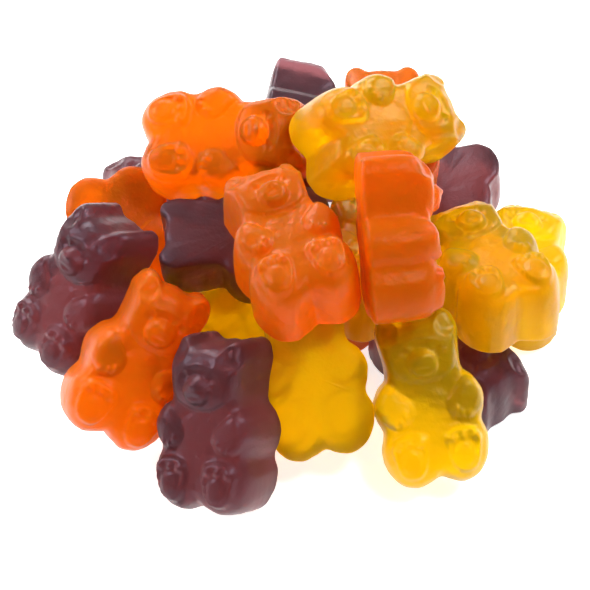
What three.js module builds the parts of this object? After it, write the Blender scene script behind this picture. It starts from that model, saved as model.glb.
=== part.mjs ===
// A heap of soft moulded gelatine bears in three fruit flavours, as it lies on a table.
// Millimetres, +Z up. The origin is the middle of the heap's footprint, on the table.
// Every bear comes from the same mould: a flat back, a near upright wall round it, and a
// modelled front with head, ears, muzzle, arms and legs. The bears are put roughly in place
// and then settle: they push each other apart and sink until they lie on one another.
import * as THREE from "three";
import { ParametricGeometry } from "three/addons/geometries/ParametricGeometry.js";
import { mergeVertices } from "three/addons/utils/BufferGeometryUtils.js";

// ---- the mould: half widths (x) and heights (z) of a bear that stands on its soles ----
const HALF_OUTLINE = {
  crotch: [0, 1.35],
  sole: [3.2, 0],
  heel: [5.2, 1.1],
  shin: [6.5, 3.2],
  knee: [6.85, 5.3],
  waist: [6.25, 7.5],
  elbow: [6.95, 10.6],
  shoulder: [6.2, 12.8],
  neck: [4.85, 14.4],
  cheek: [4.85, 17.2],
  earSide: [5.15, 20.0],
  earTip: [3.6, 22.0],
  crown: [0, 20.8],
};
const MIDDLE = [0, 10.4]; // the radial lines of the surface start here
const CENTRE = [0, -4.6, 10.6]; // the point a bear turns about: the middle of its body
const HEAD = { depth: 8.9, z: 17.1, rx: 5.75, rz: 5.0 };
const EAR = { depth: 7.9, x: 3.9, z: 20.0, r: 2.9, dish: 1.0, dishR: 1.3 };
const MUZZLE = { depth: 10.5, root: 8.3, z: 15.4, rx: 2.1, rz: 2.0 };
const CHEST = { depth: 7.2, z: 9.0, rx: 8.5, rz: 8.8 };
const ARM = { depth: 9.0, from: [6.4, 12.2], to: [4.1, 9.9], r: 2.45 };
const LEG = { depth: 9.75, x: 3.65, z: 4.2, rx: 4.3, rz: 4.9 };
const PAD = { x: 3.4, z: 4.05, rx: 2.25, rz: 2.95, lip: 0.5 };
const BACK = 0.5; // how far the flat back stands behind the parting line
const RIM_ROUND = 3.2; // higher is a squarer edge between front and wall
const WALL_UPRIGHT = 9; // higher is a more upright wall
const JOIN = 0.17; // softness of the joins between head, chest, arms and legs

// ---- how finely the mould is cut: stations round the outline, rings from front to back ----
const STATIONS = [0, 0.5, 1, 2, 2.5, 3, 4, 5, 5.5, 6, 6.5, 7, 8, 9, 9.5, 10, 10.5, 11, 11.5];
const RINGS = [0.27, 0.48, 0.68, 0.85, 0.955];
const BACK_RING = 0.95;

const clamp = THREE.MathUtils.clamp;
const pillow = (r, p) => Math.max(1 - Math.max(r, 0) ** p, 0) ** (1 / p);
const ellipse = (x, z, cx, cz, rx, rz) => Math.hypot((x - cx) / rx, (z - cz) / rz);

function capsule(x, z, [ax, az], [bx, bz], r) {
  const [dx, dz] = [bx - ax, bz - az];
  const t = clamp(((x - ax) * dx + (z - az) * dz) / (dx * dx + dz * dz), 0, 1);
  return Math.hypot(x - ax - t * dx, z - az - t * dz) / r;
}

function softMax(values) {
  const top = Math.max(...values);
  return top + JOIN * Math.log(values.reduce((s, v) => s + Math.exp((v - top) / JOIN), 0));
}

// how far the front stands out of the parting line at a point of the outline's plane
function relief(x, z) {
  const ax = Math.abs(x);
  const m = ellipse(x, z, 0, MUZZLE.z, MUZZLE.rx, MUZZLE.rz);
  let h = softMax([
    HEAD.depth * pillow(ellipse(x, z, 0, HEAD.z, HEAD.rx, HEAD.rz), 3.8),
    EAR.depth * pillow(ellipse(ax, z, EAR.x, EAR.z, EAR.r, EAR.r), 4),
    CHEST.depth * pillow(ellipse(x, z, 0, CHEST.z, CHEST.rx, CHEST.rz), 5),
    MUZZLE.root + (MUZZLE.depth - MUZZLE.root) * pillow(Math.min(m, 1), 2.2) -
      MUZZLE.root * clamp(m - 1, 0, 1),
    ARM.depth * pillow(capsule(ax, z, ARM.from, ARM.to, ARM.r), 3.6),
    LEG.depth * pillow(ellipse(ax, z, LEG.x, LEG.z, LEG.rx, LEG.rz), 4.8),
  ]);
  h -= EAR.dish * pillow(Math.min(ellipse(ax, z, EAR.x, EAR.z + 0.4, EAR.dishR, EAR.dishR), 1), 2);
  h += PAD.lip * pillow(Math.min(ellipse(ax, z, PAD.x, PAD.z, PAD.rx, PAD.rz), 1), 4);
  return h;
}

const half = Object.values(HALF_OUTLINE);
const whole = half.concat(
  half
    .slice(1, -1)
    .reverse()
    .map(([x, z]) => [-x, z]),
);
const outline = new THREE.CatmullRomCurve3(
  whole.map(([x, z]) => new THREE.Vector3(x, 0, z)),
  true,
  "catmullrom",
  0.5,
);
const last = half.length - 1;
const around = STATIONS.concat([last], STATIONS.slice(1).reverse().map((s) => 2 * last - s));

// One bear as a closed surface. i runs round the outline, j from the middle of the front
// over the rim to the middle of the back. bend curves its height forwards, twist turns its
// head against its feet, plump scales its depth.
function bearGeometry({ bend = 0, twist = 0, plump = 1, lean = 0 }) {
  const slices = around.length;
  const stacks = RINGS.length + 3;
  const place = (u, v, out) => {
    const i = Math.round(u * slices) % slices;
    const j = Math.round(v * stacks);
    const edge = outline.getPoint(around[i] / (2 * last));
    const front = j <= RINGS.length;
    const share = j === 0 || j === stacks ? 0 : front ? RINGS[j - 1] : j === stacks - 1 ? BACK_RING : 1;
    const x = MIDDLE[0] + (edge.x - MIDDLE[0]) * share;
    const z = MIDDLE[1] + (edge.z - MIDDLE[1]) * share;
    let y = 0;
    if (front) y = -relief(x, z) * (1 - share ** WALL_UPRIGHT) ** (1 / RIM_ROUND);
    else if (j >= stacks - 1) y = BACK;
    const dx = x - CENTRE[0];
    const dy = (y - CENTRE[1]) * plump;
    const dz = z - CENTRE[2];
    const turn = twist * dz;
    const [c, s] = [Math.cos(turn), Math.sin(turn)];
    out.set(dx * c - dy * s + lean * dz * dz, dx * s + dy * c - bend * dz * dz, dz);
  };
  const made = new ParametricGeometry(place, slices, stacks);
  made.deleteAttribute("normal");
  made.deleteAttribute("uv");
  const merged = mergeVertices(made, 1e-4);
  const index = merged.index.array;
  const kept = [];
  for (let k = 0; k < index.length; k += 3) {
    const [a, b, c] = [index[k], index[k + 1], index[k + 2]];
    if (a !== b && b !== c && a !== c) kept.push(a, c, b);
  }
  merged.setIndex(kept);
  return merged;
}

// ---- the flavours ----
const FLAVOURS = {
  orange: new THREE.MeshStandardMaterial({ color: 0xf7700c, roughness: 0.4, metalness: 0 }),
  yellow: new THREE.MeshStandardMaterial({ color: 0xf5c400, roughness: 0.4, metalness: 0 }),
  purple: new THREE.MeshStandardMaterial({ color: 0x6e3c4f, roughness: 0.4, metalness: 0 }),
};

// ---- the heap ----
// Each row is a bear: name, flavour, where it starts and how it is turned. Its place is given
// on the plane that leans back at SLOPE like the heap's front: x to the right, up along that
// plane, and z its height over the table. With no angles a bear lies against the front slope
// and looks straight out of it. Then roll turns its head to the right, tip makes its face
// look up and turn makes it look to the right. A flat bear lies with its flat back or its
// front on the table and turns about the vertical only. A free bear isn't drawn to a place:
// its weight alone holds it.
const SLOPE = 45;
const HEAP = [
  // the front row, standing on the table and leaning back
  ["front_left", "purple", -9.1, -10.5, 11.4, -18, 0, 5, {}],
  ["front_right", "yellow", 14.3, -6.4, 12.7, 0, 0, -8, {}],
  ["front_middle", "yellow", 2.7, 0.7, 8.9, 180, 0, 0, {}],
  ["left_front", "orange", -19.2, -2.2, 11.8, 0, 0, 35, {}],
  ["left_side", "purple", -21.3, 5.8, 10.7, -42, -15, 38, {}],
  ["right_front", "purple", 15.9, 1, 5.3, 0, 45, 140, { flat: true }],
  ["right_side", "yellow", 24.2, 8.5, 18.9, 0, 48, -28, {}],
  ["far_right", "yellow", 25.1, 9.4, 5.3, 0, 45, 30, { flat: true }],
  // the second layer, seen between the others
  ["middle_low", "orange", 6.9, 3.1, 5.3, 0, 45, 15, { flat: true }],
  ["middle_left", "yellow", -7.1, 0.7, 5.3, 180, -45, 80, { flat: true }],
  ["middle_dark", "purple", -5.4, 10.6, 16, 180, -22, 92, {}],
  ["middle_right", "yellow", 8.1, 14.7, 16.1, 0, 42, 0, {}],
  ["left_rear", "orange", -19.9, 7.7, 10.5, 180, -5, -165, {}],
  ["left_back", "purple", -15, 16.2, 5.8, 10, 30, -70, {}],
  ["right_rear", "purple", 18.6, 14.4, 13, 180, -5, 172, {}],
  ["rear_low", "purple", 1.5, 23.2, 5.3, 180, -45, 75, { free: true, flat: true }],
  // the top
  ["top_middle", "orange", 0.1, 9.7, 23.7, 0, 28, -27, {}],
  ["top_side_on", "orange", 12.3, 10.9, 26.8, 90, 0, -10, { size: 0.94 }],
  ["top_left", "orange", -8.4, 23.9, 23.6, 0, 12, 86, {}],
  ["top_right", "yellow", 10.9, 24.3, 26, 30, 20, 80, {}],
  ["rear_top", "purple", 1.8, 20.9, 11.9, 90, 0, 45, {}],
  ["rear_right", "orange", 11.2, 17.1, 14.4, 180, -38, 10, {}],
  // under and behind them
  ["under", "yellow", -3.8, 8.7, 5.2, 0, 45, 80, { free: true, flat: true }],
];

const rad = THREE.MathUtils.degToRad;
const turnBy = (axis, degrees) =>
  new THREE.Quaternion().setFromAxisAngle(new THREE.Vector3(...axis), rad(degrees));

// ---- a coarse chart of the mould, for the settling ----
// wall: how far a point of the outline's plane is inside the outline, with its direction;
// front: how far the front stands out there
const CELL = 0.4;
const CHART_X = 8;
const CHART_Z = [-1, 23];
const chartN = [Math.round((2 * CHART_X) / CELL) + 1, Math.round((CHART_Z[1] - CHART_Z[0]) / CELL) + 1];
const rim = outline.getPoints(240).map((p) => [p.x, p.z]);
const chart = [];
for (let k = 0; k < chartN[0] * chartN[1]; k++) {
  const x = -CHART_X + CELL * (k % chartN[0]);
  const z = CHART_Z[0] + CELL * Math.floor(k / chartN[0]);
  let best = Infinity;
  let inside = false;
  for (let i = 0, j = rim.length - 1; i < rim.length; j = i++) {
    const [x0, z0] = rim[j];
    const [x1, z1] = rim[i];
    const [dx, dz] = [x1 - x0, z1 - z0];
    const t = clamp(((x - x0) * dx + (z - z0) * dz) / (dx * dx + dz * dz || 1), 0, 1);
    best = Math.min(best, Math.hypot(x - x0 - t * dx, z - z0 - t * dz));
    if (z0 > z !== z1 > z && x < ((x1 - x0) * (z - z0)) / (z1 - z0) + x0) inside = !inside;
  }
  const wall = inside ? best : -best;
  const share = clamp(1 - Math.max(wall, 0) / 6.5, 0, 1);
  const front = relief(x, z) * (1 - share ** WALL_UPRIGHT) ** (1 / RIM_ROUND);
  chart.push([wall, front]);
}
function read(x, z) {
  const u = clamp((x + CHART_X) / CELL, 0, chartN[0] - 1.001);
  const v = clamp((z - CHART_Z[0]) / CELL, 0, chartN[1] - 1.001);
  const [i, j] = [Math.floor(u), Math.floor(v)];
  const [f, g] = [u - i, v - j];
  const at = (a, b) => chart[(j + b) * chartN[0] + i + a];
  const mix = (k) =>
    (at(0, 0)[k] * (1 - f) + at(1, 0)[k] * f) * (1 - g) +
    (at(0, 1)[k] * (1 - f) + at(1, 1)[k] * f) * g;
  const slopeX = ((at(1, 0)[0] - at(0, 0)[0]) * (1 - g) + (at(1, 1)[0] - at(0, 1)[0]) * g) / CELL;
  const slopeZ = ((at(0, 1)[0] - at(0, 0)[0]) * (1 - f) + (at(1, 1)[0] - at(1, 0)[0]) * f) / CELL;
  return [mix(0), mix(1), slopeX, slopeZ];
}

// How deep a point in a bear's own frame is inside it, and the way out. gap widens the bear.
const out = new THREE.Vector3();
function depthInside(p, gap) {
  const x = p.x + CENTRE[0];
  const y = p.y + CENTRE[1];
  const z = p.z + CENTRE[2];
  if (Math.abs(x) > 7.6 || z < -0.6 || z > 22.6 || y > BACK + gap || y < -10.9) return 0;
  const [wall, front, sx, sz] = read(x, z);
  const byWall = wall + gap;
  const byFront = y + front + gap;
  const byBack = BACK + gap - y;
  const least = Math.min(byWall, byFront, byBack);
  if (least <= 0) return 0;
  if (least === byWall) out.set(-sx, 0, -sz).normalize();
  else out.set(0, least === byFront ? -1 : 1, 0);
  return least;
}

// ---- settling: bears push each other out, are drawn to their places and sink ----
const GAP = 0.3;
const SPIN = 40; // squared radius of gyration, mm2
const bears = HEAP.map(([name, flavour, x, up, z, turn, tip, roll, shape]) => {
  const turned = turnBy([1, 0, 0], SLOPE - 90)
    .multiply(turnBy([0, 0, 1], turn))
    .multiply(turnBy([1, 0, 0], -tip))
    .multiply(turnBy([0, 1, 0], roll));
  const geometry = bearGeometry(shape).scale(shape.size ?? 1, shape.size ?? 1, shape.size ?? 1);
  const points = [];
  const g = geometry.attributes.position;
  for (let k = 0; k < g.count; k++) points.push(new THREE.Vector3().fromBufferAttribute(g, k));
  const at = new THREE.Vector3(x, up / Math.sin(rad(SLOPE)) - z, z);
  return { name, flavour, shape, geometry, points, at, turned, place: at.clone(), pose: turned.clone() };
});

const spot = new THREE.Vector3();
const local = new THREE.Vector3();
const arm = new THREE.Vector3();
const armB = new THREE.Vector3();
const cross = new THREE.Vector3();
const way = new THREE.Vector3();
const inverse = new THREE.Quaternion();
const small = new THREE.Quaternion();

let stiff = false; // while true, the bears that aren't free shift without turning
function nudge(bear, direction, lever, amount) {
  bear.at.addScaledVector(direction, amount);
  if (stiff && !bear.shape.free) return;
  cross.crossVectors(lever, direction).multiplyScalar(amount / SPIN);
  if (bear.shape.flat) cross.set(0, 0, cross.z);
  const angle = cross.length();
  if (angle < 1e-9) return;
  small.setFromAxisAngle(cross.multiplyScalar(1 / angle), Math.min(angle, 0.1));
  bear.turned.premultiply(small).normalize();
}

function pushApart(a, b) {
  let worst = 0;
  inverse.copy(b.turned).invert();
  for (const point of a.points) {
    spot.copy(point).applyQuaternion(a.turned).add(a.at);
    local.copy(spot).sub(b.at).applyQuaternion(inverse);
    const deep = depthInside(local, GAP);
    if (deep <= 0) continue;
    worst = Math.max(worst, deep);
    way.copy(out).applyQuaternion(b.turned);
    arm.copy(spot).sub(a.at);
    armB.copy(spot).sub(b.at);
    const wa = 1 + cross.crossVectors(arm, way).lengthSq() / SPIN;
    const wb = 1 + cross.crossVectors(armB, way).lengthSq() / SPIN;
    const amount = (0.35 * deep) / (wa + wb);
    nudge(a, way, arm, amount);
    nudge(b, way, armB, -amount);
    inverse.copy(b.turned).invert();
  }
  return worst;
}

function pushUp(a) {
  way.set(0, 0, 1);
  for (const point of a.points) {
    spot.copy(point).applyQuaternion(a.turned).add(a.at);
    if (spot.z >= 0) continue;
    arm.copy(spot).sub(a.at);
    const w = 1 + cross.crossVectors(arm, way).lengthSq() / SPIN;
    nudge(a, way, arm, -spot.z / w);
  }
}

const upSlope = new THREE.Vector3(0, Math.cos(rad(SLOPE)), Math.sin(rad(SLOPE)));
const into = new THREE.Vector3(0, Math.sin(rad(SLOPE)), -Math.cos(rad(SLOPE)));
const down = new THREE.Vector3(0, 0, -1);
const SWEEPS = 260;
const STIFF = 100; // first sweeps, in which most bears keep the way they face
const QUIET = 80; // last sweeps, in which nothing draws the bears any more
for (let sweep = 0; sweep < SWEEPS; sweep++) {
  const quiet = sweep >= SWEEPS - QUIET;
  stiff = sweep < STIFF;
  for (const bear of bears) {
    if (quiet) continue;
    bear.at.addScaledVector(bear.shape.free ? down : into, bear.shape.free ? 0.15 : 0.08);
    const hold = bear.shape.free ? 0.01 : 0.12;
    const off = bear.place.clone().sub(bear.at);
    bear.at.x += off.x * hold;
    bear.at.addScaledVector(upSlope, off.dot(upSlope) * hold);
    bear.at.addScaledVector(into, off.dot(into) * hold * 0.3);
    bear.turned.slerp(bear.pose, bear.shape.free ? 0.01 : 0.15);
  }
  let worst = 0;
  for (const a of bears)
    for (const b of bears)
      if (a !== b && a.at.distanceToSquared(b.at) < 26 * 26) worst = Math.max(worst, pushApart(a, b));
  for (const bear of bears) pushUp(bear);
}

const heap = new THREE.Group();
heap.name = "gummy_bears";
for (const { name, flavour, geometry, at, turned } of bears) {
  const mesh = new THREE.Mesh(geometry, FLAVOURS[flavour]);
  mesh.name = `bear_${flavour}_${name}`;
  mesh.quaternion.copy(turned);
  mesh.position.copy(at);
  heap.add(mesh);
}
heap.updateMatrixWorld(true);
const bounds = new THREE.Box3().setFromObject(heap, true);
const middle = bounds.getCenter(new THREE.Vector3());
heap.position.set(-middle.x, -middle.y, -bounds.min.z);

export default heap;
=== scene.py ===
"""A heap of moulded gelatine bears in three fruit flavours, lying on a white table.

Each bear of the frame is replaced by a finely modelled bear of the same mould, laid where the
frame's solid lies. Shapes are in millimetres until their mesh is made. A bear of the mould
stands on its soles: x to its left hand, y to its back, z up. In the shapes of the mould, ax is
how far a point lies to either side, so that both halves of a bear are alike.
"""

import math

import bpy
import numpy as np
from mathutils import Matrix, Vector


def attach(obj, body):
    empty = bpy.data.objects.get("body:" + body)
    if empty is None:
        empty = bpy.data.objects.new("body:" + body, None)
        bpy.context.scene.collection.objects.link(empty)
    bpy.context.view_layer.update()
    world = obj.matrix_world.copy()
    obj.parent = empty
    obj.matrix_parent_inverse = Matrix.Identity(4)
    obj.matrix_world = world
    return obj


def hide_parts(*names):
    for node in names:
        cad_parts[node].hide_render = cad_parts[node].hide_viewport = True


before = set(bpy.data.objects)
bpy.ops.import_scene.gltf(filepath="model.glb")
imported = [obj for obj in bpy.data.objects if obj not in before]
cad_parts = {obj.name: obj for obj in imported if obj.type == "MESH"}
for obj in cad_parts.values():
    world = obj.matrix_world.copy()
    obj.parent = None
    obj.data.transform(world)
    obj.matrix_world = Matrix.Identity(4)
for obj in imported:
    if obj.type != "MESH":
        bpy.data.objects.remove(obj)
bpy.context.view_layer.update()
MM = 0.001

# ---- the mould, in mm: half of a bear's outline, from the crotch round foot and ear to the crown ----
HALF_OUTLINE = np.array([
    (0, 1.05), (1.3, 0.5), (3.1, 0), (5.05, 0.8), (6.4, 2.8), (6.85, 5.2),  # foot and leg
    (6.25, 7.4), (6.75, 9.2), (6.95, 11), (6.2, 12.8),  # waist and arm
    (4.95, 14.2), (4.8, 16.2), (5, 18.2),  # neck and cheek
    (5.15, 20), (4.5, 21.6), (3.3, 22), (1.9, 21.25), (0, 21.35),  # ear and crown
])
MIDDLE = np.array((0, 10.4))  # the surface is worked out along rays from here
CORE = np.array((0, -4.6, 10.6))  # about the middle of a bear's body, which bends and turns round it
SNOUT_UP = 15.6  # the middle of the snout
BACK_RISE = 0.95  # how far the flat back stands behind the parting line
BACK_SQUARE = 6.5  # higher is a sharper edge round the back
WALL_UPRIGHT = 9  # higher is a more upright side wall
RIM_ROUND = 5  # higher is a squarer edge between the wall and the front
HALF_WIDTH = 7
FRONT_DEPTH = 8.6  # on the whole, from the parting line to the front
SLAB = 8  # how far the level parts of the front stand out of the parting line
JOIN_SOFT = 0.04  # softness of the creases between head, chest, arms and legs
GRID = (98, 154)  # points across and up a bear's front
FRONT_FINER = 2.4  # how much closer they lie on the front than on the wall round it
BACK_RINGS = (0.997, 0.988, 0.97, 0.945, 0.91, 0.86, 0.8, 0.72, 0.6, 0.42, 0.22)  # shares of a ray
SHRINK = 0.988  # makes up for the fine relief, so that pressed neighbours cut in by 0.7 mm at most
TABLE_GAP = 0.02  # mm, how close to the table a bear may come

# ---- what makes one bear of the mould differ from the next ----
SEED = 20
BEND = 0.0016  # 1/mm, how much the height curves forwards or back
SWAY = 0.0012  # 1/mm, how much it curves to a side
TWIST = 0.006  # rad/mm, how much the head is turned against the feet
PLUMP = 0.02  # share by which the depth differs
# depth in mm, number, and shortest and longest length in mm of the waves in its skin
DENTS = (0.09, 5, 5, 11)
PEEL = (0.04, 24, 1, 2.4)
BLEBS = 12  # little bubbles under the skin
BLEB_SIZE = (0.1, 0.19)  # mm, height and radius


# ---------------------------------------------------------------- shapes


def closed_curve(points, t):
    """Catmull-Rom curve through points in a ring: the cubic that passes each point in the
    direction from its last to its next neighbour. t from 0 to 1 runs once round."""
    count = len(points)
    s = (t % 1) * count
    i = np.floor(s).astype(int)
    f = (s - i)[..., None]
    a, b, c, d = (points[(i + k) % count] for k in (-1, 0, 1, 2))
    square = 2 * a - 5 * b + 4 * c - d
    cube = 3 * b - a - 3 * c + d
    return 0.5 * (2 * b + (c - a) * f + square * f**2 + cube * f**3)


def pillow(r, power):
    """Height 1 in the middle and 0 from radius 1 on: (1 - r^power)^(1/power), so a high power
    is a flat top with a steep edge."""
    return np.maximum(1 - np.minimum(r, 1) ** power, 0) ** (1 / power)


def oval(x, z, cx, cz, rx, rz):
    """Distance from the centre (cx, cz) in units of the oval's own radius in that direction,
    where rx and rz are its radii across and up."""
    return np.hypot((x - cx) / rx, (z - cz) / rz)


def dot(x, z, cx, cz, rx, rz):
    """Soft round bump: e to the minus of the squared oval distance."""
    return np.exp(-oval(x, z, cx, cz, rx, rz) ** 2)


def plate(distance, soft):
    """Height 1 within a distance of 1 and 0 beyond it, by 1 / (1 + e to the distance past 1
    over soft), so that a small soft is a crisp edge."""
    return 1 / (1 + np.exp(np.clip((distance - 1) / soft, -40, 40)))


def sausage(x, z, start, end, radius):
    """Distance from the straight line between start and end in units of a radius."""
    along = np.array(end) - start
    t = ((x - start[0]) * along[0] + (z - start[1]) * along[1]) / (along @ along)
    t = np.clip(t, 0, 1)
    return np.hypot(x - start[0] - t * along[0], z - start[1] - t * along[1]) / radius


def soft_max(heights, softness):
    """Highest of several heights, with the creases between them filled: softness times the
    logarithm of the sum of e to the height over softness."""
    stack = np.stack(heights)
    top = stack.max(0)
    return top + softness * np.log(np.exp((stack - top) / softness).sum(0))


def face(x, ax, z):
    """What is raised or sunk on the head: dished ears, nose, mouth, and an eye in each of two
    sockets under a curved brow, which is a ridge along a circle round the snout."""
    dish = -0.75 * plate(oval(ax, z, 3.75, 20.05, 1.25, 1.3), 0.12)
    nose = 0.38 * dot(x, z, 0, 16.4, 0.75, 0.45)
    sockets = -0.34 * dot(ax, z, 1.75, 17.5, 0.9, 0.65)
    eyes = 0.38 * dot(ax, z, 1.45, 17.6, 0.42, 0.4)
    from_snout = oval(x, z, 0, SNOUT_UP, 1, 1)
    above_eyes = plate(17.4 / z, 0.015)
    brows = 0.22 * np.exp(-(((from_snout - 3.2) / 0.42) ** 2)) * above_eyes
    mouth = -0.26 * dot(x, z, 0, 14.9, 0.8, 0.28)
    return dish + nose + sockets + eyes + brows + mouth


def paws(ax, z):
    """Three short claws on each forepaw, as dots a little higher than wide."""
    claws = ((3.1, 9.3), (3.8, 8.7), (4.65, 8.6))
    return sum(0.34 * dot(ax, z, cx, cz, 0.33, 0.48) for cx, cz in claws)


def soles(ax, z):
    """Each sole: a low plate with a ridge along its edge, three toes in a row and a heel pad.
    The plate is a square rounded by the power 3, wider at the toes than at the heel."""
    up = (z - 4.2) / 3
    across = (ax - 3.4) / (2.25 + 0.2 * (z - 4.2))
    edge = (np.abs(across) ** 3 + np.abs(up) ** 3) ** (1 / 3)
    ridge = 0.3 * np.exp(-(((edge - 0.84) / 0.08) ** 2))
    sole = 0.46 * plate(edge / 0.9, 0.04)
    places = ((2.15, 5.788), (3.5, 5.95), (4.85, 5.788))
    toes = sum(0.46 * dot(ax, z, cx, cz, 0.43, 0.43) for cx, cz in places)
    pad = 0.32 * plate(oval(ax, z, 3.4, 3.5, 1.3, 1.65), 0.08)
    return ridge + sole + toes + pad


def front_height(x, z):
    """How far the front stands out of the parting line: a level slab with low pillows on it for
    head, ears, belly, arms and seat, of which the highest counts, with soft creases, and the
    snout and the fine relief on top. A pillow's first number is its height and its last its
    power, and the oval or sausage between them is where it lies and how far it reaches."""
    ax = np.abs(x)
    head = 0.9 * pillow(oval(x, z, 0, 17.2, 4.9, 4.15), 2.6)
    ears = 0.4 * pillow(oval(ax, z, 3.7, 20, 2.3, 2.2), 4)
    belly = 0.4 * pillow(oval(x, z, 0, 8.8, 3.2, 4.2), 2)
    arms = 0.8 * pillow(sausage(ax, z, (6.6, 12.2), (4, 9.9), 2.1), 2.4)
    seat = 0.45 * pillow(oval(x, z, 0, 3.9, 6.5, 4.3), 4)
    body = SLAB + soft_max([head, ears, belly, arms, seat], JOIN_SOFT)
    snout = 1.05 * pillow(oval(x, z, 0, SNOUT_UP, 1.95, 1.85), 2.5)
    return body + snout + face(x, ax, z) + paws(ax, z) + soles(ax, z)


def rim_profile(share):
    """Section from the middle of the front over its rim: the curve whose reach is
    sin(f)^(2/WALL_UPRIGHT) and whose height is cos(f)^(2/RIM_ROUND), with f from 0 to a
    quarter turn, read at equal steps of its length with the front stretched. Gives both."""
    f = np.linspace(0, math.pi / 2, 4000)
    reach = np.sin(f) ** (2 / WALL_UPRIGHT)
    height = np.cos(f) ** (2 / RIM_ROUND)
    steps = np.hypot(np.diff(reach) * HALF_WIDTH * FRONT_FINER, np.diff(height) * FRONT_DEPTH)
    length = np.concatenate([[0], np.cumsum(steps)])
    length /= length[-1]
    return np.interp(share, length, reach), np.interp(share, length, height)


def mould_bear():
    """Points, four-sided faces and the triangles that close the back of one bear. A grid
    (a, b), each from -1 to 1, is bent to a disc by a*sqrt(1 - b*b/2) and b*sqrt(1 - a*a/2).
    The disc's angle picks a point of the outline and its radius the share of the way there
    from MIDDLE. Such a sheet is the front, raised by front_height and rolled over at the rim.
    The back is that sheet's edge again, shrunk to MIDDLE in rings and closed by one point. It
    rises by sqrt(1 - share^BACK_SQUARE)."""
    a, b = np.meshgrid(*(np.linspace(-1, 1, count) for count in GRID), indexing="ij")
    u = a * np.sqrt(1 - b * b / 2)
    v = b * np.sqrt(1 - a * a / 2)
    radius = np.minimum(np.hypot(u, v), 1)
    turn = (np.arctan2(v, u) + math.pi / 2) / (2 * math.pi)
    other_half = HALF_OUTLINE[-2:0:-1] * (-1, 1)
    ray = closed_curve(np.concatenate([HALF_OUTLINE, other_half]), turn) - MIDDLE
    reach, height = rim_profile(radius)
    x, z = np.moveaxis(MIDDLE + ray * reach[..., None], -1, 0)
    front = np.stack([x, -front_height(x, z) * height, z], -1)

    number = np.arange(radius.size).reshape(GRID)
    front_faces = np.stack([number[:-1, :-1], number[1:, :-1], number[1:, 1:], number[:-1, 1:]], -1)
    edge = np.concatenate([number[0, :-1], number[:-1, -1], number[-1, :0:-1], number[:0:-1, 0]])
    share = np.array(BACK_RINGS)[:, None]
    x, z = np.moveaxis(MIDDLE + share[..., None] * ray.reshape(-1, 2)[edge], -1, 0)
    rise = BACK_RISE * np.sqrt(1 - share**BACK_SQUARE)
    rings = np.stack([x, np.broadcast_to(rise, x.shape), z], -1)
    inner = radius.size + np.arange(x.size).reshape(x.shape)
    loops = np.concatenate([edge[None], inner])
    beside = np.roll(loops, -1, 1)
    back_faces = np.stack([loops[:-1], beside[:-1], beside[1:], loops[1:]], -1)
    middle = (MIDDLE[0], BACK_RISE, MIDDLE[1])
    middle_number = radius.size + x.size
    cap = np.stack([loops[-1], beside[-1], np.full(len(edge), middle_number)], -1)

    points = np.concatenate([front.reshape(-1, 3), rings.reshape(-1, 3), [middle]])
    return points, np.concatenate([front_faces.reshape(-1, 4), back_faces.reshape(-1, 4)]), cap


def waved(points, draw, depth, count, shortest, longest):
    """Points pushed by the sum of count plane waves, each the sine of the way along a random
    direction, with a random push and length. Together they go depth up and down."""
    shift = np.zeros_like(points)
    for _ in range(count):
        way, push = (v / np.linalg.norm(v) for v in draw.normal(size=(2, 3)))
        turns = points @ way / draw.uniform(shortest, longest) + draw.uniform()
        shift += np.sin(2 * math.pi * turns)[:, None] * push
    return points + shift * depth / math.sqrt(count)


def uneven(points, draw):
    """A bear as it came out of its own cavity: curved forwards and sideways by the square of
    the height over its middle, twisted in step with that height, a little thicker or thinner,
    dented by long waves and peeled by short ones, with a few blebs, each a bump of e to the
    minus of the squared distance over its radius."""
    bend, sway, twist, plump = draw.uniform(-1, 1, 4) * (BEND, SWAY, TWIST, PLUMP)
    x, y, z = (points - CORE).T
    y = y * (1 + plump)
    c, s = np.cos(twist * z), np.sin(twist * z)
    shaped = np.stack([x * c - y * s + sway * z * z, x * s + y * c + bend * z * z, z], 1)
    shaped = waved(waved(shaped, draw, *DENTS), draw, *PEEL)
    height, radius = BLEB_SIZE
    for spot in shaped[draw.integers(0, len(shaped), BLEBS)]:
        near = np.exp(-(((shaped - spot) ** 2).sum(1)) / radius**2)
        shaped = shaped + height * near[:, None] * spot / np.linalg.norm(spot)
    return shaped


# ---------------------------------------------------------------- where each bear lies


def tetrahedra(points, triangles, tip):
    """Corners of the triangles as seen from a point, and the volumes of the tetrahedra that
    they make with it: a sixth of the triple product."""
    corners = (points - tip)[triangles]
    a, b, c = np.moveaxis(corners, 1, 0)
    return corners, np.einsum("ij,ij->i", a, np.cross(b, c)) / 6


def lie_of(points, triangles):
    """Middle and three axes (across, depth, height) of a closed solid, summed as tetrahedra
    between each triangle and one point. Their middles give the solid's middle and their
    second moments its axes: the longest is the bear's height and the shortest its depth. The
    third moment along each of these tells head from feet and face from back."""
    tip = points.mean(0)
    corners, volume = tetrahedra(points, triangles, tip)
    middle = tip + (volume[:, None] * corners.sum(1) / 4).sum(0) / volume.sum()
    corners, volume = tetrahedra(points, triangles, middle)
    legs = np.concatenate([corners, corners.sum(1, keepdims=True)], 1)
    second = np.einsum("i,ikp,ikq->pq", volume, legs, legs)
    depth, _, height = np.linalg.eigh(second)[1].T

    def lean(axis):
        ends = corners @ axis
        p = [(ends**k).sum(1) for k in (1, 2, 3)]
        return (volume * (p[0] ** 3 + 3 * p[0] * p[1] + 2 * p[2])).sum()

    height = height * -np.sign(lean(height))
    depth = depth * -np.sign(lean(depth))
    across = np.cross(depth, height)
    return middle, np.stack([across, depth, height], 1)


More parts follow.
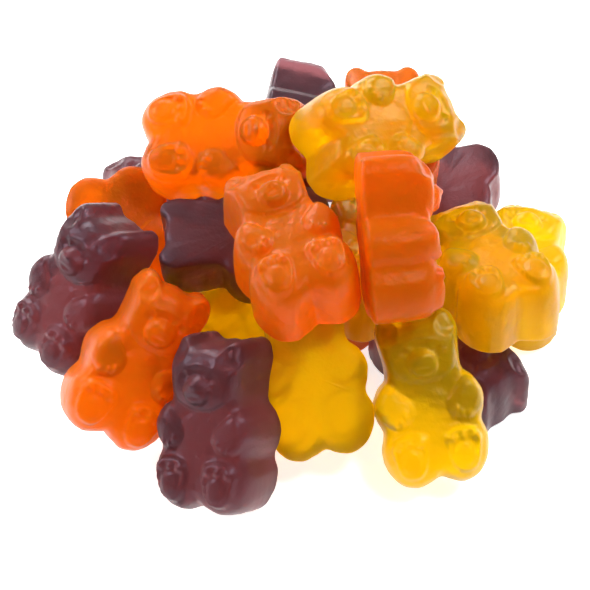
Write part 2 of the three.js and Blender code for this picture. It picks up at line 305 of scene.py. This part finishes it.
def node_solid(node):
    """Points and triangles of a node of the frame, in millimetres."""
    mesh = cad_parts[node].data
    points = np.empty(len(mesh.vertices) * 3)
    mesh.vertices.foreach_get("co", points)
    mesh.calc_loop_triangles()
    triangles = np.empty(len(mesh.loop_triangles) * 3, np.int32)
    mesh.loop_triangles.foreach_get("vertices", triangles)
    return points.reshape(-1, 3) / MM, triangles.reshape(-1, 3)


def tallness(points, axes):
    """How far the points reach along the last of three axes."""
    return np.ptp(points @ axes, axis=0)[2]


def lay_bear(node, shaped, middle, axes, tall):
    """The shaped bear, moved to where the frame's solid lies: the mould's middle and axes are
    brought on those of the node, and its height to the node's. In millimetres, in the frame."""
    node_points, node_triangles = node_solid(node)
    node_middle, node_axes = lie_of(node_points, node_triangles)
    size = tallness(node_points, node_axes) / tall
    turn = node_axes @ axes.T
    return node_middle + (shaped - middle) @ turn.T * size * SHRINK


# ---------------------------------------------------------------- materials

BEAR_DEPTH = 10  # mm, about the way of light through a bear
STARCH_GRAIN = 0.45  # mm, pits that the starch leaves: finer really, drawn as coarse as they show
GRAIN_DEPTH = 0.045  # mm
OIL_PATCH = 3.5  # mm, where the oil lies thicker or thinner
OIL_SPREAD = 0.08  # how much rougher or smoother the skin is for it
GUM_IOR = 1.3  # the gum has about 1.5, but bears that cling together bend light less between them
SKIN_GLOSS = 0.3  # 0.5 is a clean polished skin
OIL_FILM = {"Coat Weight": 0.15, "Coat Roughness": 0.3, "Coat IOR": 1.4}  # thin and mostly rubbed off
SCATTER = 4  # mm, how far light wanders in the turbid gum
LEAST_SCATTER = 0.15  # the share of that for a colour that the gum swallows
BLACKEST = 0.0004  # stands for a channel of 0, which has no logarithm


def linear(hex_colour, alpha=1.0):
    """An sRGB hex colour as the linear one that shaders take."""
    channels = [int(hex_colour[k : k + 2], 16) / 255 for k in (1, 3, 5)]
    made_linear = [c / 12.92 if c <= 0.04045 else ((c + 0.055) / 1.055) ** 2.4 for c in channels]
    return (*made_linear, alpha)


def add_node(material, kind, settings=None, **links):
    """Adds a shader node, sets its values and links its named inputs to other nodes' outputs."""
    made = material.node_tree.nodes.new(kind)
    for key, value in (settings or {}).items():
        if key in made.inputs:
            made.inputs[key].default_value = value
        else:
            setattr(made, key, value)
    for name, output in links.items():
        material.node_tree.links.new(made.inputs[name.replace("_", " ")], output)
    return made


def through_colour(hex_colour, depth_mm):
    """Colour and density of an absorbing volume that leaves white light this colour after
    depth_mm: each channel's loss over the length is minus its logarithm, the density is the
    greatest loss, and the colour is what isn't lost."""
    seen = np.maximum(np.array(linear(hex_colour)[:3]), BLACKEST)
    loss = -np.log(seen) / (depth_mm * MM)
    density = loss.max()
    return tuple(1 - loss / density) + (1.0,), float(density)


def moulded_gelatine(name, gum_hex, through_hex, sheen_hex, clear, rough):
    """Gelatine gum cast in starch and oiled. It is deeply coloured and mostly clear, so thin parts
    glow and what lies behind shows as a blur, and the rest of it is turbid and scatters light.
    The starch leaves a satin skin of fine pits, smoother where the oil lies thicker. Its broad
    sheen takes up the gum's colour, and the thin film of oil over it keeps its own white one."""
    material = bpy.data.materials.new(name)
    material.use_nodes = True
    material.node_tree.nodes.clear()
    place = add_node(material, "ShaderNodeTexCoord").outputs["Object"]

    patch_size = {"Scale": 1 / (OIL_PATCH * MM), "Detail": 3.0}
    patches = add_node(material, "ShaderNodeTexNoise", patch_size, Vector=place)
    satin = add_node(material, "ShaderNodeMapRange", {
        "From Min": 0.3, "From Max": 0.7, "To Min": rough - OIL_SPREAD, "To Max": rough + OIL_SPREAD,
    }, Value=patches.outputs[0])

    grain_size = {"Scale": 1 / (STARCH_GRAIN * MM), "Detail": 2.0}
    grain = add_node(material, "ShaderNodeTexNoise", grain_size, Vector=place)
    pit_depth = {"Strength": 1.0, "Distance": GRAIN_DEPTH * MM}
    pitted = add_node(material, "ShaderNodeBump", pit_depth, Height=grain.outputs[0]).outputs[0]

    gum_colour = linear(gum_hex)
    gum = add_node(material, "ShaderNodeBsdfPrincipled", {
        "Base Color": gum_colour,
        "IOR": GUM_IOR,
        "Specular Tint": linear(sheen_hex),
        "Specular IOR Level": SKIN_GLOSS,
        "Transmission Weight": clear,
        **OIL_FILM,
        "Subsurface Weight": 1.0,
        "Subsurface Scale": SCATTER * MM,
        "Subsurface Radius": [max(channel, LEAST_SCATTER) for channel in gum_colour[:3]],
        "subsurface_method": "BURLEY",
    }, Roughness=satin.outputs[0], Normal=pitted, Coat_Normal=pitted)
    colour, density = through_colour(through_hex, BEAR_DEPTH)
    body = add_node(material, "ShaderNodeVolumeAbsorption", {"Color": colour, "Density": density})
    add_node(
        material,
        "ShaderNodeOutputMaterial",
        Surface=gum.outputs["BSDF"],
        Volume=body.outputs["Volume"],
    )
    return material


def white_acrylic(name):
    """Matt white acrylic sheet lit from under it as well: a plain ground that glows a little."""
    material = bpy.data.materials.new(name)
    material.use_nodes = True
    material.node_tree.nodes.clear()
    sheet = add_node(material, "ShaderNodeBsdfPrincipled", {
        "Base Color": linear("#F7F7F7"),
        "Roughness": 0.6,
        "Emission Color": linear("#FFFFFF"),
        "Emission Strength": 0.73,
    })
    add_node(material, "ShaderNodeOutputMaterial", Surface=sheet.outputs["BSDF"])
    return material


# colours: the gum itself, white light through a bear, and the sheen on its skin
GUMS = {
    "orange": moulded_gelatine(
        "orange_gelatine", "#EF7A03", "#EDB268", "#FF8A24", clear=0.68, rough=0.42
    ),
    "yellow": moulded_gelatine(
        "yellow_gelatine", "#F5D406", "#F3D61A", "#FFD030", clear=0.82, rough=0.38
    ),
    "purple": moulded_gelatine(
        "purple_gelatine", "#8C5E68", "#AE6C5C", "#B49CC8", clear=0.88, rough=0.38
    ),
}


# ---------------------------------------------------------------- the bears


def add_piece(name, points_mm, faces, material):
    """A smooth mesh piece, its place in its mesh, in metres."""
    mesh = bpy.data.meshes.new(name)
    mesh.from_pydata((points_mm * MM).tolist(), [], faces)
    mesh.polygons.foreach_set("use_smooth", np.ones(len(mesh.polygons), bool))
    mesh.materials.append(material)
    piece = bpy.data.objects.new(name, mesh)
    bpy.context.scene.collection.objects.link(piece)
    return piece


def make_bears():
    """One fine bear for each node of the frame, in its flavour."""
    points, quads, cap = mould_bear()
    faces = quads.tolist() + cap.tolist()
    halves = quads[:, [[0, 1, 2], [0, 2, 3]]].reshape(-1, 3)
    plain = points - CORE
    middle, axes = lie_of(plain, np.concatenate([halves, cap]))
    tall = tallness(plain, axes)
    draw = np.random.default_rng(SEED)
    for node in sorted(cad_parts):
        flavour = node.split("_")[1]
        laid = lay_bear(node, uneven(points, draw), middle, axes, tall)
        laid[:, 2] = np.maximum(laid[:, 2], TABLE_GAP)
        piece = add_piece("gum_" + node, laid, faces, GUMS[flavour])
        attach(piece, "root")
        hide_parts(node)


# ---------------------------------------------------------------- table, light and camera

# lengths here are in metres, but for the lens and its sensor
CAMERA_DISTANCE = 0.300
CAMERA_ELEVATION = math.radians(45)
CAMERA_AIM = Vector((-0.0004, 0.0043, 0.0038))
CAMERA_LENS, CAMERA_SENSOR = 135.5, 36  # mm
CAMERA_NEAR = 0.01
FLOOR_SIDE = 3.0
TENT_GLOW = 0.25
BOUNCES = 16  # enough for light to pass through several bears


def make_table():
    """The white board the heap lies on."""
    half = FLOOR_SIDE / 2
    corners = [(-half, -half, 0), (half, -half, 0), (half, half, 0), (-half, half, 0)]
    mesh = bpy.data.meshes.new("table")
    mesh.from_pydata(corners, [], [(0, 1, 2, 3)])
    mesh.materials.append(white_acrylic("white_acrylic"))
    table = bpy.data.objects.new("table", mesh)
    bpy.context.scene.collection.objects.link(table)


def softbox(name, place, side, watts):
    """A square area light that faces the heap."""
    light = bpy.data.lights.new(name, "AREA")
    light.energy = watts
    light.size = side
    lamp = bpy.data.objects.new(name, light)
    lamp.location = place
    lamp.rotation_euler = Vector(place).to_track_quat("Z", "Y").to_euler()
    bpy.context.scene.collection.objects.link(lamp)


def make_light():
    """White surroundings, softboxes at the right, the back and the left, and a small lamp over
    the front, whose light shows as small highlights on the oil."""
    world = bpy.data.worlds.new("white_tent")
    world.use_nodes = True
    tent = world.node_tree.nodes["Background"]
    tent.inputs["Color"].default_value = (1, 1, 1, 1)
    tent.inputs["Strength"].default_value = TENT_GLOW
    bpy.context.scene.world = world
    softbox("softbox_right", (0.4, 0.2, 0.45), 0.26, 3.8)
    softbox("softbox_back", (-0.2, 0.5, 0.4), 0.28, 3.5)
    softbox("softbox_left", (-0.5, 0.05, 0.4), 0.26, 3.5)
    softbox("lamp_front", (0.16, -0.2, 0.5), 0.07, 1.0)


def make_camera():
    """A camera over the front of the heap that looks down on it."""
    camera = bpy.data.objects.new("camera", bpy.data.cameras.new("camera"))
    camera.data.lens = CAMERA_LENS
    camera.data.sensor_width = CAMERA_SENSOR
    camera.data.clip_start = CAMERA_NEAR
    back = Vector((0, -math.cos(CAMERA_ELEVATION), math.sin(CAMERA_ELEVATION)))
    camera.location = CAMERA_AIM + back * CAMERA_DISTANCE
    camera.rotation_euler = back.to_track_quat("Z", "Y").to_euler()
    bpy.context.scene.collection.objects.link(camera)
    bpy.context.scene.camera = camera


make_bears()
make_table()
make_light()
make_camera()

scene = bpy.context.scene
scene.view_settings.view_transform = "Standard"
scene.cycles.max_bounces = BOUNCES
scene.cycles.transmission_bounces = BOUNCES
scene.cycles.use_denoising = True
